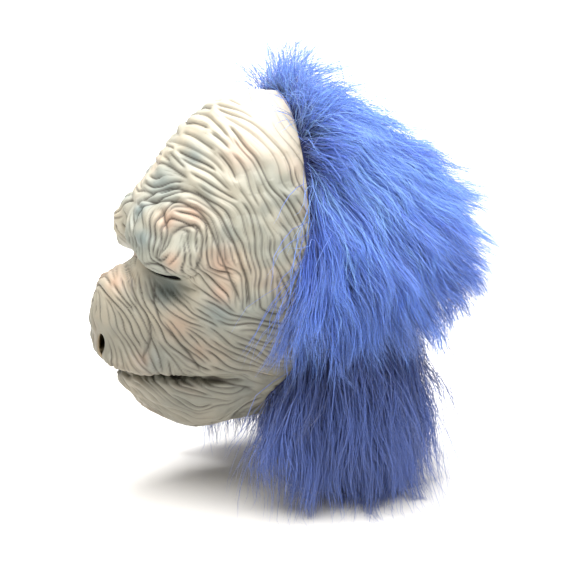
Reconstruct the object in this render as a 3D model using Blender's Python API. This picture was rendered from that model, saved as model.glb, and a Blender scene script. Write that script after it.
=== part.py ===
"""Full-head latex creature mask with long blue fur, standing on the rim of its neck.

Metres, +Z up. The face looks along -Y and the mask's left side is +X. The origin is on the
ground under the middle of the mask's box. One object for each piece of the real mask.
"""
import math

import bmesh
import bpy
import numpy as np

# ---------------------------------------------------------------- driving dimensions
LATEX = 0.0025                     # wall of the casting
SHIFT_Y = -0.0167                  # brings the middle of the whole box over the origin

SKULL_Y, SKULL_Z = -0.010, 0.215   # middle of the head
SKULL_SIDE = 0.096                 # half width
SKULL_FRONT, SKULL_BACK = 0.105, 0.128
SKULL_UP, SKULL_DOWN = 0.130, 0.165

NECK_Y = 0.070                     # the neck tube stands behind the middle of the head
NECK_SIDE, NECK_DEPTH = 0.063, 0.054
NECK_TOP = 0.084                   # where the neck tube meets the jaw and the nape

JAW_POLAR = math.radians(150)      # how far down the dome runs at the chin
NAPE_POLAR = math.radians(104)     # and at the back

SLIT_WIDTH, SLIT_TOP = 0.006, 0.135
EYE_MIDDLE, EYE_REACH = (0.042, -0.094, 0.203), (0.017, 0.030, 0.0050)
EYE_TILT = math.radians(14)        # the outer corner of the eye slit hangs
NOSTRIL_MIDDLE, NOSTRIL_REACH = (0.017, -0.150, 0.137), (0.0052, 0.030, 0.0115)
NOSTRIL_TILT = math.radians(8)

HAIR_Y = 0.005                     # the hairline lies in this upright plane
HAIR_SIDE, HAIR_BACK, HAIR_UP, HAIR_DOWN = 0.132, 0.186, 0.163, 0.175
HAIR_AT_EDGE = 0.35                # share of the full pile right at the hairline
HAIR_FULL = 0.35                   # sine of the angle behind the hairline where the pile is full
HAIR_GAP = 0.0010                  # between the latex and the backing of the fur
FUR_SEAM = 0.006                   # angle left between two pieces of fur
CROWN_POLAR = math.radians(52)     # lower edge of the crown piece
TIER_POLAR = math.radians(103)     # lower edge of the upper tier
BACK_HALF = math.radians(40)       # half of the back piece, measured round the head

# Half axes of the hanging tier's inner and outer walls at three levels.
NAPE_LEVELS = (0.0004, 0.080, 0.160)
NAPE_INNER = ((0.086, 0.117), (0.088, 0.117), (0.107, 0.117))
NAPE_OUTER = ((0.104, 0.133), (0.114, 0.137), (0.129, 0.140))
NAPE_MID_Y = 0.012
NAPE_FRONT_Y = -0.032              # front edge of the hanging tier, under the cheeks
NAPE_HALF_GAP = 0.004              # half of the parting over the slit

PAD_GAP = 0.0012                   # between the latex and what is glued inside it
PAD_THICK = 0.012
PAD_CLEAR = 0.0008                 # further in where the wall is strongly curved
CLOTH = 0.0008                     # thickness of the mesh, the tapes and the hem
SCREEN_CLEAR = 0.0022
HEM_CLEAR = 0.0002
TAPE_FROM, TAPE_TO = 0.115, 0.36   # angles from the middle of the back, beside the slit

# Soft pulls that turn the plain head into the face, in the order they are made:
# middle, reach along x, y and z, and the pull itself. A pull off the middle plane is mirrored.
PULLS = [
    ((0.000, -0.100, 0.320), (0.090, 0.050, 0.030), (0.0, 0.003, 0.000)),       # sloping forehead
    ((0.044, -0.100, 0.247), (0.030, 0.032, 0.016), (0.002, -0.018, -0.003)),   # brow ridge
    ((0.000, -0.112, 0.216), (0.017, 0.030, 0.014), (0.0, 0.010, 0.000)),       # root of the nose
    ((0.056, -0.080, 0.224), (0.020, 0.024, 0.013), (0.006, -0.012, -0.007)),   # drooping lid
    ((0.044, -0.086, 0.197), (0.028, 0.020, 0.009), (-0.002, 0.014, 0.002)),    # hollow under the lid
    ((0.000, -0.100, 0.152), (0.042, 0.055, 0.034), (0.0, -0.049, 0.000)),      # muzzle
    ((0.000, -0.120, 0.188), (0.022, 0.040, 0.014), (0.0, -0.008, 0.006)),      # bridge of the nose
    ((0.030, -0.110, 0.128), (0.034, 0.040, 0.013), (0.005, -0.010, 0.000)),    # hanging upper lip
    ((0.000, -0.080, 0.086), (0.050, 0.060, 0.024), (0.0, -0.030, -0.007)),     # lower jaw
    ((0.070, -0.040, 0.150), (0.030, 0.050, 0.040), (0.008, -0.004, 0.000)),    # cheek
    ((0.000, -0.130, 0.114), (0.070, 0.060, 0.005), (0.0, 0.010, 0.000)),       # line of the mouth
]


# ---------------------------------------------------------------- the shape of the head
def blend(t):
    """Smooth step from 0 to 1."""
    t = np.clip(t, 0.0, 1.0)
    return t * t * (3.0 - 2.0 * t)


def apply_pulls(points):
    for middle, reach, pull in PULLS:
        sides = (1.0, -1.0) if middle[0] > 0.0 else (1.0,)
        for side in sides:
            flip = np.array([side, 1.0, 1.0])
            offset = (points - np.array(middle) * flip) / np.array(reach)
            weight = np.exp(-0.5 * (offset ** 2).sum(axis=-1, keepdims=True))
            points = points + weight * np.array(pull) * flip
    return points


def head_point(around, down):
    """Outer surface of the latex. around is 0 at the face and 90 degrees at the mask's left.
    down runs from 0 at the crown to 1 at the end of the dome, 2 at the top of the neck tube and
    3 at its rim."""
    around, down = np.broadcast_arrays(np.asarray(around, float), np.asarray(down, float))
    frontness = blend(0.5 + 0.5 * np.cos(around))
    last = NAPE_POLAR + (JAW_POLAR - NAPE_POLAR) * frontness
    polar = np.minimum(down, 1.0) * last
    direction_y = -np.cos(around)
    reach_y = np.where(direction_y < 0.0, SKULL_FRONT, SKULL_BACK)
    reach_z = np.where(np.cos(polar) > 0.0, SKULL_UP, SKULL_DOWN)
    dome = np.stack([SKULL_SIDE * np.sin(around) * np.sin(polar),
                     SKULL_Y + reach_y * direction_y * np.sin(polar),
                     SKULL_Z + reach_z * np.cos(polar)], axis=-1)
    neck = np.stack([NECK_SIDE * np.sin(around),
                     NECK_Y + NECK_DEPTH * direction_y,
                     np.full(around.shape, NECK_TOP)], axis=-1)
    t = np.clip(down - 1.0, 0.0, 1.0)[..., None]
    bend = dome + (neck - dome) * blend(t)
    # the jaw and the nape leave the dome downwards before they turn in to the neck
    sag = (4.0 * t * (1.0 - t))[..., 0]
    bend[..., 2] = dome[..., 2] + (neck[..., 2] - dome[..., 2]) * np.sin(0.5 * math.pi * t[..., 0])
    bend[..., 1] -= 0.004 * sag * frontness
    points = apply_pulls(np.where(t > 0.0, bend, dome))
    tube = np.clip(down - 2.0, 0.0, 1.0)
    points[..., 2] *= 1.0 - tube
    points[..., 1] += SHIFT_Y
    return points


def head_normal(around, down):
    step = 0.004
    across = head_point(around + step, down) - head_point(around - step, down)
    along = head_point(around, down + step) - head_point(around, down - step)
    normal = np.cross(along, across)
    return normal / np.linalg.norm(normal, axis=-1, keepdims=True)


def offset_point(around, down, distance):
    return head_point(around, down) + head_normal(around, down) * np.asarray(distance)[..., None]


def over_skull(around, polar):
    """A direction from the middle of the hairline plane, and how far the plain skull is along it."""
    direction = np.stack([np.sin(around) * np.sin(polar), -np.cos(around) * np.sin(polar),
                          np.cos(polar)], axis=-1)
    reach_z = np.where(direction[..., 2] > 0.0, SKULL_UP, SKULL_DOWN)
    reach = np.stack([np.full(reach_z.shape, SKULL_SIDE), np.full(reach_z.shape, SKULL_BACK),
                      reach_z], axis=-1)
    ahead = (HAIR_Y - SKULL_Y) / SKULL_BACK
    a = ((direction / reach) ** 2).sum(axis=-1)
    b = direction[..., 1] / reach[..., 1] * ahead
    distance = (-b + np.sqrt(b * b - a * (ahead * ahead - 1.0))) / a
    return direction, distance


def hair_distance(direction):
    """How far the tips of the upper tier stand from the middle of the hairline plane."""
    reach_z = np.where(direction[..., 2] > 0.0, HAIR_UP, HAIR_DOWN)
    reach = np.stack([np.full(reach_z.shape, HAIR_SIDE), np.full(reach_z.shape, HAIR_BACK),
                      reach_z], axis=-1)
    return 1.0 / np.sqrt(((direction / reach) ** 2).sum(axis=-1))


# ---------------------------------------------------------------- building blocks
def make_material(name, colour, roughness):
    material = bpy.data.materials.new(name)
    material.use_nodes = True
    shader = material.node_tree.nodes["Principled BSDF"]
    shader.inputs["Base Color"].default_value = (*colour, 1.0)
    shader.inputs["Roughness"].default_value = roughness
    shader.inputs["Metallic"].default_value = 0.0
    return material


def add_object(name, bm, material, smooth_angle=60):
    bmesh.ops.recalc_face_normals(bm, faces=bm.faces)
    mesh = bpy.data.meshes.new(name)
    bm.to_mesh(mesh)
    bm.free()
    mesh.shade_smooth()
    mesh.set_sharp_from_angle(angle=math.radians(smooth_angle))
    mesh.materials.append(material)
    obj = bpy.data.objects.new(name, mesh)
    bpy.context.scene.collection.objects.link(obj)
    return obj


def shell_between(name, inner, outer, material):
    """Closed solid between two grids of points of the same shape."""
    bm = bmesh.new()
    rows, columns = inner.shape[:2]
    low = [[bm.verts.new(point) for point in row] for row in inner]
    high = [[bm.verts.new(point) for point in row] for row in outer]
    for i in range(rows - 1):
        for j in range(columns - 1):
            bm.faces.new((low[i][j], low[i + 1][j], low[i + 1][j + 1], low[i][j + 1]))
            bm.faces.new((high[i][j], high[i][j + 1], high[i + 1][j + 1], high[i + 1][j]))
    for j in range(columns - 1):
        bm.faces.new((low[0][j], low[0][j + 1], high[0][j + 1], high[0][j]))
        bm.faces.new((low[-1][j], high[-1][j], high[-1][j + 1], low[-1][j + 1]))
    for i in range(rows - 1):
        bm.faces.new((low[i][0], high[i][0], high[i + 1][0], low[i + 1][0]))
        bm.faces.new((low[i][-1], low[i + 1][-1], high[i + 1][-1], high[i][-1]))
    return add_object(name, bm, material)


def grid(first, last, across, low, high, down):
    """Two arrays: an angle round the head for each column and a height value for each row."""
    return np.meshgrid(np.linspace(first, last, across), np.linspace(low, high, down))


def inside_patch(name, around, down, depth_from, depth_to, material):
    """A piece glued on the inner side of the latex, between two depths below its outer side.
    The depths are arrays or numbers."""
    shape = around.shape
    inner = offset_point(around, down, -np.broadcast_to(depth_to, shape))
    outer = offset_point(around, down, -np.broadcast_to(depth_from, shape))
    return shell_between(name, inner, outer, material)


# ---------------------------------------------------------------- the latex casting
def slot_cutter(name, middle, reach, tilt, side):
    """Rounded slug that cuts one hole through the latex, on the left or mirrored on the right."""
    bm = bmesh.new()
    bmesh.ops.create_uvsphere(bm, u_segments=12, v_segments=8, radius=1.0)
    for vert in bm.verts:
        vert.co = [c * r for c, r in zip(vert.co, reach)]
    obj = add_object(name, bm, bpy.data.materials["latex"])
    obj.location = (side * middle[0], middle[1] + SHIFT_Y, middle[2])
    obj.rotation_euler = (0.0, side * tilt, 0.0)
    return obj


def slit_cutter():
    bm = bmesh.new()
    bmesh.ops.create_cube(bm, size=1.0)
    back = NECK_Y + NECK_DEPTH + SHIFT_Y
    for vert in bm.verts:
        vert.co.x *= SLIT_WIDTH
        vert.co.y = back + vert.co.y * 0.060
        vert.co.z = (vert.co.z + 0.5) * (SLIT_TOP + 0.01) - 0.01
    return add_object("slit_cutter", bm, bpy.data.materials["latex"])


def latex_skin(material):
    columns, dome_rows, turn_rows, tube_rows = 56, 27, 7, 4
    around = np.arange(columns) * 2.0 * math.pi / columns
    heights = np.concatenate([np.linspace(0.05, 1.0, dome_rows),
                              1.0 + np.arange(1, turn_rows + 1) / turn_rows,
                              2.0 + np.arange(1, tube_rows + 1) / tube_rows])
    points = head_point(around[None, :], heights[:, None])
    crown = head_point(np.zeros(1), np.zeros(1))[0]

    bm = bmesh.new()
    rings = [[bm.verts.new(point) for point in row] for row in points]
    top = bm.verts.new(crown)
    for j in range(columns):
        k = (j + 1) % columns
        bm.faces.new((top, rings[0][j], rings[0][k]))
        for upper, lower in zip(rings, rings[1:]):
            bm.faces.new((upper[j], lower[j], lower[k], upper[k]))
    skin = add_object("latex_skin", bm, material)
    wall = skin.modifiers.new("wall", "SOLIDIFY")
    wall.thickness = LATEX
    wall.offset = -1.0
    wall.use_rim = True
    wall.use_even_offset = False

    cutters = [slit_cutter()]
    for side, word in ((1.0, "left"), (-1.0, "right")):
        cutters.append(slot_cutter(f"eye_cutter_{word}", EYE_MIDDLE, EYE_REACH, EYE_TILT, side))
        cutters.append(slot_cutter(f"nostril_cutter_{word}", NOSTRIL_MIDDLE, NOSTRIL_REACH,
                                   NOSTRIL_TILT, side))
    for cutter in cutters:
        cutter.hide_render = True
        cutter.display_type = "WIRE"
        cut = skin.modifiers.new(cutter.name, "BOOLEAN")
        cut.operation = "DIFFERENCE"
        cut.solver = "EXACT"
        cut.object = cutter
    return skin


# ---------------------------------------------------------------- the fur
def upper_fur(name, around, polar, material):
    direction, skull = over_skull(around, polar)
    origin = np.array([0.0, HAIR_Y, SKULL_Z])
    inner = apply_pulls(origin + direction * (skull + HAIR_GAP)[..., None])
    pile = hair_distance(direction) - skull
    pile *= HAIR_AT_EDGE + (1.0 - HAIR_AT_EDGE) * blend(direction[..., 1] / HAIR_FULL)
    outer = origin + direction * (skull + pile)[..., None]
    shift = np.array([0.0, SHIFT_Y, 0.0])
    return shell_between(name, inner + shift, outer + shift, material)


def nape_fur(name, side, material):
    """Half of the hanging lower tier: an upright curved wall from the cheek to the parting."""
    def edge(half_axes, level):
        first = -math.asin((NAPE_MID_Y - NAPE_FRONT_Y) / half_axes[1])
        last = math.acos(NAPE_HALF_GAP / half_axes[0])
        angle = np.linspace(first, last, 15)
        return np.stack([side * half_axes[0] * np.cos(angle),
                         NAPE_MID_Y + SHIFT_Y + half_axes[1] * np.sin(angle),
                         np.full(angle.shape, level)], axis=-1)

    inner = np.stack([edge(axes, level) for axes, level in zip(NAPE_INNER, NAPE_LEVELS)])
    outer = np.stack([edge(axes, level) for axes, level in zip(NAPE_OUTER, NAPE_LEVELS)])
    return shell_between(name, inner, outer, material)


# ---------------------------------------------------------------- the whole mask
def build():
    for obj in list(bpy.data.objects):
        bpy.data.objects.remove(obj)

    latex = make_material("latex", (0.62, 0.62, 0.54), 0.55)
    fur = make_material("fur", (0.05, 0.10, 0.55), 0.8)
    foam = make_material("foam", (0.16, 0.16, 0.17), 0.95)
    mesh_cloth = make_material("mesh_cloth", (0.02, 0.02, 0.02), 0.9)
    tape = make_material("tape", (0.75, 0.72, 0.64), 0.9)

    latex_skin(latex)

    quarter, back = 0.5 * math.pi, math.pi
    upper_fur("crown_fur", *grid(quarter, 3 * quarter, 23, math.radians(2), CROWN_POLAR, 8), fur)
    tier = (CROWN_POLAR + FUR_SEAM, TIER_POLAR, 8)
    upper_fur("left_side_fur", *grid(quarter, back - BACK_HALF - FUR_SEAM, 10, *tier), fur)
    upper_fur("back_fur", *grid(back - BACK_HALF, back + BACK_HALF, 15, *tier), fur)
    upper_fur("right_side_fur", *grid(back + BACK_HALF + FUR_SEAM, 3 * quarter, 10, *tier), fur)
    nape_fur("left_nape_fur", 1.0, fur)
    nape_fur("right_nape_fur", -1.0, fur)

    near = LATEX + PAD_GAP
    inside_patch("forehead_pad", *grid(-0.42, 0.42, 9, 0.40, 0.555, 4),
                 near + PAD_CLEAR, near + PAD_THICK, foam)
    inside_patch("crown_pad", *grid(math.radians(125), math.radians(235), 9, 0.10, 0.42, 4),
                 near, near + PAD_THICK, foam)
    for side, word in ((1.0, "left"), (-1.0, "right")):
        inside_patch(f"cheek_pad_{word}", *grid(side * 1.25, side * 1.75, 5, 0.66, 0.86, 5),
                     near + PAD_CLEAR, near + PAD_THICK, foam)
        inside_patch(f"eye_screen_{word}", *grid(side * 0.17, side * 0.72, 8, 0.585, 0.680, 5),
                     near + SCREEN_CLEAR, near + SCREEN_CLEAR + CLOTH, mesh_cloth)
        beside_slit = grid(back - side * TAPE_FROM, back - side * TAPE_TO, 3, 1.40, 2.88, 10)
        inside_patch(f"slit_tape_{word}", *beside_slit, near, near + CLOTH, tape)
    inside_patch("neck_hem", *grid(-back + 0.45, back - 0.45, 33, 2.90, 2.97, 2),
                 near + HEM_CLEAR, near + HEM_CLEAR + CLOTH, tape)


build()
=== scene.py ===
"""Looks of the creature mask: folded latex, long blue fur, and the foam and cloth inside it.

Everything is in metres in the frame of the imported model: the face looks along -Y, the mask's
left side is +X and it stands on z = 0. The head's surface is the same formula as in the CAD
model, with finer pulls and folds added.
"""
import math

import bmesh
import bpy
import numpy as np
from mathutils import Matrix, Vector, kdtree
from mathutils.bvhtree import BVHTree


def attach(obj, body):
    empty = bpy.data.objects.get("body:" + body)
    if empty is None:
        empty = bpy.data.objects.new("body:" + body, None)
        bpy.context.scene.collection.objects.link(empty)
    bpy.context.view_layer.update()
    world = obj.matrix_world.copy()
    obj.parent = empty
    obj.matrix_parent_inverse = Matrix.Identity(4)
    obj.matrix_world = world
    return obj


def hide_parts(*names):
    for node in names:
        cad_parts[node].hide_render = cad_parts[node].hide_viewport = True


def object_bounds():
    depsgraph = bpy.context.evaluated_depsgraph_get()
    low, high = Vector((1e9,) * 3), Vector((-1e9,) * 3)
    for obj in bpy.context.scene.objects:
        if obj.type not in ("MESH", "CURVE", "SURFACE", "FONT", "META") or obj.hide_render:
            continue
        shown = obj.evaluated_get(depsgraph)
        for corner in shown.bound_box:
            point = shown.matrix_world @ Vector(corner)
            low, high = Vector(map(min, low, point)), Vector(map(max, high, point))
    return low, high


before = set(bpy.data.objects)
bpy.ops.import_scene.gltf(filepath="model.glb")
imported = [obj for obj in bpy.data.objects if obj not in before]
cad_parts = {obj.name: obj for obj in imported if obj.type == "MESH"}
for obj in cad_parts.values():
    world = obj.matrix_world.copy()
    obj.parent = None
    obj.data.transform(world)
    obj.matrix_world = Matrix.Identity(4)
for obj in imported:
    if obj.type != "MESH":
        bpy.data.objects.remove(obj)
cad_lo, cad_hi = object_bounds()
rng = np.random.default_rng(7)

# ---- sizes shared with the CAD model
LATEX = 0.0025
SHIFT_Y = -0.0167
SKULL_Y, SKULL_Z = -0.010, 0.215
SKULL_SIDE = 0.096
SKULL_FRONT, SKULL_BACK = 0.105, 0.128
SKULL_UP, SKULL_DOWN = 0.130, 0.165
NECK_Y = 0.070
NECK_SIDE, NECK_DEPTH = 0.063, 0.054
NECK_TOP = 0.084
JAW_POLAR, NAPE_POLAR = math.radians(150), math.radians(104)
SLIT_WIDTH, SLIT_TOP = 0.006, 0.135
HAIR_Y = 0.005
CROWN_POLAR, TIER_POLAR = math.radians(52), math.radians(103)
BACK_HALF = math.radians(40)
PAD_GAP, PAD_THICK = 0.0012, 0.012
# The cloth that carries the fur: its thickness, and the rows and columns of its mesh.
KNIT, BACKING_GRID = 0.0010, (30, 40)

PULLS = [
    ((0.000, -0.100, 0.320), (0.090, 0.050, 0.030), (0.0, 0.003, 0.000)),  # sloping forehead
    ((0.044, -0.100, 0.247), (0.030, 0.032, 0.016), (0.002, -0.018, -0.003)),  # brow ridge
    ((0.000, -0.112, 0.216), (0.017, 0.030, 0.014), (0.0, 0.010, 0.000)),  # root of the nose
    ((0.056, -0.080, 0.224), (0.020, 0.024, 0.013), (0.006, -0.012, -0.007)),  # drooping lid
    ((0.044, -0.086, 0.197), (0.028, 0.020, 0.009), (-0.002, 0.014, 0.002)),  # hollow under the lid
    ((0.000, -0.100, 0.152), (0.042, 0.055, 0.034), (0.0, -0.049, 0.000)),  # muzzle
    ((0.000, -0.120, 0.188), (0.022, 0.040, 0.014), (0.0, -0.008, 0.006)),  # bridge of the nose
    ((0.030, -0.110, 0.128), (0.034, 0.040, 0.013), (0.005, -0.010, 0.000)),  # hanging upper lip
    ((0.000, -0.080, 0.086), (0.050, 0.060, 0.024), (0.0, -0.030, -0.007)),  # lower jaw
    ((0.070, -0.040, 0.150), (0.030, 0.050, 0.040), (0.008, -0.004, 0.000)),  # cheek
    ((0.000, -0.130, 0.114), (0.070, 0.060, 0.005), (0.0, 0.010, 0.000)),  # line of the mouth
]
# Finer pulls that only the looks need, made after the first ones.
FINE_PULLS = [
    ((0.026, -0.128, 0.240), (0.012, 0.020, 0.014), (-0.001, -0.006, -0.006)),  # inner end of the brow
    ((0.000, -0.120, 0.222), (0.010, 0.030, 0.020), (0.0, 0.005, 0.000)),  # cleft between the brows
    ((0.046, -0.106, 0.222), (0.020, 0.016, 0.012), (0.001, -0.005, -0.003)),  # hood of the lid
    ((0.070, -0.090, 0.218), (0.010, 0.013, 0.011), (0.005, -0.006, -0.006)),  # hanging outer lobe
    ((0.031, -0.109, 0.205), (0.018, 0.022, 0.007), (0.000, 0.009, 0.000)),  # gap under the lid
    ((0.052, -0.095, 0.191), (0.022, 0.022, 0.006), (-0.002, 0.005, 0.000)),  # socket under the lobe
    ((0.056, -0.106, 0.214), (0.016, 0.016, 0.006), (0.001, -0.006, -0.004)),  # edge of the lid
    ((0.072, -0.076, 0.193), (0.014, 0.014, 0.008), (0.003, -0.005, 0.000)),  # under the outer corner
    ((0.000, -0.145, 0.112), (0.024, 0.030, 0.0090), (0.0, 0.010, 0.002)),  # front of the lip
    ((0.000, -0.130, 0.1165), (0.070, 0.060, 0.0035), (0.0, 0.012, 0.000)),  # the closed mouth
    ((0.060, -0.090, 0.1165), (0.022, 0.036, 0.0035), (-0.006, 0.004, 0.000)),  # the mouth at the side
    ((0.042, -0.120, 0.127), (0.030, 0.036, 0.0060), (0.006, -0.006, -0.004)),  # rolled edge of the lip
    ((0.022, -0.110, 0.102), (0.040, 0.050, 0.0110), (0.006, -0.006, 0.004)),  # lower lip
    ((0.060, -0.070, 0.068), (0.034, 0.044, 0.024), (0.006, -0.004, -0.005)),  # side of the chin
]


# ---- the head's surface
def blend(t):
    t = np.clip(t, 0.0, 1.0)
    return t * t * (3.0 - 2.0 * t)


def apply_pulls(points, pulls=PULLS):
    for middle, reach, pull in pulls:
        sides = (1.0, -1.0) if middle[0] > 0.0 else (1.0,)
        for side in sides:
            flip = np.array([side, 1.0, 1.0])
            offset = (points - np.array(middle) * flip) / np.array(reach)
            weight = np.exp(-0.5 * (offset ** 2).sum(axis=-1, keepdims=True))
            points = points + weight * np.array(pull) * flip
    return points


def head_point(around, down, fine=False):
    """around is 0 at the face and 90 degrees at the mask's left. down runs from 0 at the crown
    to 1 at the end of the dome, 2 at the top of the neck tube and 3 at its rim."""
    around, down = np.broadcast_arrays(np.asarray(around, float), np.asarray(down, float))
    frontness = blend(0.5 + 0.5 * np.cos(around))
    last = NAPE_POLAR + (JAW_POLAR - NAPE_POLAR) * frontness
    polar = np.minimum(down, 1.0) * last
    direction_y = -np.cos(around)
    reach_y = np.where(direction_y < 0.0, SKULL_FRONT, SKULL_BACK)
    reach_z = np.where(np.cos(polar) > 0.0, SKULL_UP, SKULL_DOWN)
    dome = np.stack([SKULL_SIDE * np.sin(around) * np.sin(polar),
                     SKULL_Y + reach_y * direction_y * np.sin(polar),
                     SKULL_Z + reach_z * np.cos(polar)], axis=-1)
    neck = np.stack([NECK_SIDE * np.sin(around),
                     NECK_Y + NECK_DEPTH * direction_y,
                     np.full(around.shape, NECK_TOP)], axis=-1)
    t = np.clip(down - 1.0, 0.0, 1.0)[..., None]
    bend = dome + (neck - dome) * blend(t)
    sag = (4.0 * t * (1.0 - t))[..., 0]
    bend[..., 2] = dome[..., 2] + (neck[..., 2] - dome[..., 2]) * np.sin(0.5 * math.pi * t[..., 0])
    bend[..., 1] -= 0.004 * sag * frontness
    points = apply_pulls(np.where(t > 0.0, bend, dome))
    if fine:
        points = apply_pulls(points, FINE_PULLS)
    points[..., 2] *= 1.0 - np.clip(down - 2.0, 0.0, 1.0)
    points[..., 1] += SHIFT_Y
    return points


def head_normal(around, down, fine=False):
    step = 0.004
    across = head_point(around + step, down, fine) - head_point(around - step, down, fine)
    along = head_point(around, down + step, fine) - head_point(around, down - step, fine)
    normal = np.cross(along, across)
    return normal / np.linalg.norm(normal, axis=-1, keepdims=True)


def unit(vectors):
    return vectors / np.maximum(np.linalg.norm(vectors, axis=-1, keepdims=True), 1e-12)


# ---- meshes from arrays
def add_object(name, data):
    obj = bpy.data.objects.new(name, data)
    bpy.context.scene.collection.objects.link(obj)
    return obj


def mesh_object(name, points, faces, material):
    """Object from an array of points and an array of faces with the same number of corners."""
    faces = np.asarray(faces, dtype=np.int32)
    count, corners = faces.shape
    mesh = bpy.data.meshes.new(name)
    mesh.vertices.add(len(points))
    mesh.vertices.foreach_set("co", np.asarray(points, dtype=np.float32).ravel())
    mesh.loops.add(count * corners)
    mesh.loops.foreach_set("vertex_index", faces.ravel())
    mesh.polygons.add(count)
    mesh.polygons.foreach_set("loop_start", np.arange(0, count * corners, corners, dtype=np.int32))
    mesh.update(calc_edges=True)
    mesh.shade_smooth()
    mesh.materials.append(material)
    obj = add_object(name, mesh)
    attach(obj, "root")
    return obj


def stand_for(obj, node):
    """Hides the CAD node that the piece replaces. The piece itself is not used here."""
    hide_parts(node)


def point_attribute(obj, name, values):
    layer = obj.data.attributes.new(name, "FLOAT", "POINT")
    layer.data.foreach_set("value", np.asarray(values, dtype=np.float32))


def bake_map(obj, coordinates):
    """Gives the mesh the colour map OFBake: one u, v pair for each corner."""
    layer = obj.data.uv_layers.new(name="OFBake")
    layer.data.foreach_set("uv", np.asarray(coordinates, dtype=np.float32).ravel())


# ---- materials
class Nodes:
    """Small helper that writes a material's node tree."""

    def __init__(self, name):
        self.material = bpy.data.materials.new(name)
        self.material.use_nodes = True
        self.tree = self.material.node_tree
        self.shader = self.tree.nodes["Principled BSDF"]

    def feed(self, value, socket):
        """Links a node's output to the socket, or sets the socket to a number or a colour."""
        if isinstance(value, bpy.types.NodeSocket):
            self.tree.links.new(value, socket)
        else:
            socket.default_value = (*value, 1.0) if socket.type == "RGBA" else value

    def add(self, kind, inputs=(), **settings):
        node = self.tree.nodes.new(kind)
        for key, value in settings.items():
            setattr(node, key, value)
        for key, value in dict(inputs).items():
            self.feed(value, node.inputs[key])
        return node

    def place(self):
        return self.add("ShaderNodeTexCoord").outputs["Object"]

    def noise(self, scale, detail=3.0, stretch=(1.0, 1.0, 1.0)):
        mapping = self.add("ShaderNodeMapping", {"Vector": self.place(), "Scale": stretch})
        inputs = {"Vector": mapping.outputs["Vector"], "Scale": scale, "Detail": detail}
        return self.add("ShaderNodeTexNoise", inputs).outputs["Fac"]

    def ramp(self, value, low, high):
        """0 below low and 1 above high."""
        inputs = {"Value": value, "From Min": low, "From Max": high}
        return self.add("ShaderNodeMapRange", inputs).outputs["Result"]

    def mix(self, share, first, second):
        return self.add("ShaderNodeMix", {0: share, 6: first, 7: second}, data_type="RGBA").outputs[2]

    def times(self, first, second):
        return self.add("ShaderNodeMath", {0: first, 1: second}, operation="MULTIPLY").outputs[0]

    def attribute(self, name):
        return self.add("ShaderNodeAttribute", attribute_name=name).outputs["Fac"]

    def colour(self, value):
        self.feed(value, self.shader.inputs["Base Color"])

    def roughness(self, value, low, high):
        node = self.add("ShaderNodeMapRange", {"Value": value, "To Min": low, "To Max": high})
        self.feed(node.outputs["Result"], self.shader.inputs["Roughness"])

    def bump(self, height, strength, distance):
        inputs = {"Height": height, "Strength": strength, "Distance": distance}
        self.feed(self.add("ShaderNodeBump", inputs).outputs["Normal"], self.shader.inputs["Normal"])


def latex_material():
    """Cream and grey-green ground, teal and peach tints, a lighter crown, painted shade that darkens
    the jaw and lower face, fine speckles, and a brown wash with painted shade in the creases. The inner
    side is bare latex."""
    m = Nodes("painted_latex")
    cream, grey_green, pale = (0.53, 0.47, 0.36), (0.32, 0.325, 0.27), (0.68, 0.60, 0.48)
    teal, peach, brown = (0.13, 0.205, 0.225), (0.55, 0.30, 0.19), (0.040, 0.031, 0.024)
    dim, speckle, bare = (0.135, 0.128, 0.100), (0.30, 0.30, 0.26), (0.56, 0.44, 0.27)
    skin = m.mix(m.ramp(m.noise(16.0, 4.0), 0.38, 0.64), grey_green, cream)
    skin = m.mix(m.times(m.ramp(m.noise(23.0, 3.0, (1.0, 1.3, 0.8)), 0.55, 0.72), 0.35), skin, teal)
    skin = m.mix(m.times(m.attribute("teal"), 0.62), skin, teal)
    skin = m.mix(m.times(m.ramp(m.noise(19.0, 3.0, (1.2, 0.8, 1.1)), 0.56, 0.72), 0.35), skin, peach)
    skin = m.mix(m.times(m.attribute("peach"), 0.50), skin, peach)
    skin = m.mix(m.times(m.attribute("scalp"), 0.75), skin, pale)
    # painted shade: the lower face and jaw are darker
    skin = m.mix(m.times(m.attribute("low"), 0.62), skin, dim)
    skin = m.mix(m.times(m.ramp(m.noise(260.0, 2.0), 0.35, 0.75), 0.10), skin, speckle)
    # the creases get a brown wash with painted shade in it
    skin = m.mix(m.times(m.ramp(m.attribute("crease"), 0.05, 0.90), 0.88), skin, brown)
    m.colour(m.mix(m.attribute("inside"), skin, bare))
    m.roughness(m.noise(60.0), 0.42, 0.62)
    m.bump(m.noise(900.0, 2.0), 0.25, 0.0004)
    return m.material


def fur_material(name, tip, middle, root):
    """Dyed fibres with painted highlights and painted shadows. Their map holds a tone across, their own
    random tone with painted shade added, and the way from root to tip up.
    """
    m = Nodes(name)
    place = m.add("ShaderNodeUVMap", uv_map="OFBake").outputs["UV"]
    parts = m.add("ShaderNodeSeparateXYZ", {0: place})
    tone, along = parts.outputs["X"], parts.outputs["Y"]
    highlight, shadow = tuple(min(1.0, 1.7 * part) for part in tip), (0.034, 0.058, 0.190)
    colour = m.mix(m.ramp(along, 0.02, 0.45), root, middle)
    colour = m.mix(m.ramp(along, 0.40, 1.0), colour, tip)
    # painted highlight on the lightest fibres and painted shadow on the darkest ones
    colour = m.mix(m.times(m.ramp(tone, 0.55, 1.0), 0.65), colour, highlight)
    m.colour(m.mix(m.times(m.ramp(tone, 0.40, 0.0), 0.70), colour, shadow))
    m.shader.inputs["Roughness"].default_value = 0.42
    m.shader.inputs["Sheen Weight"].default_value = 0.25
    return m.material


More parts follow.
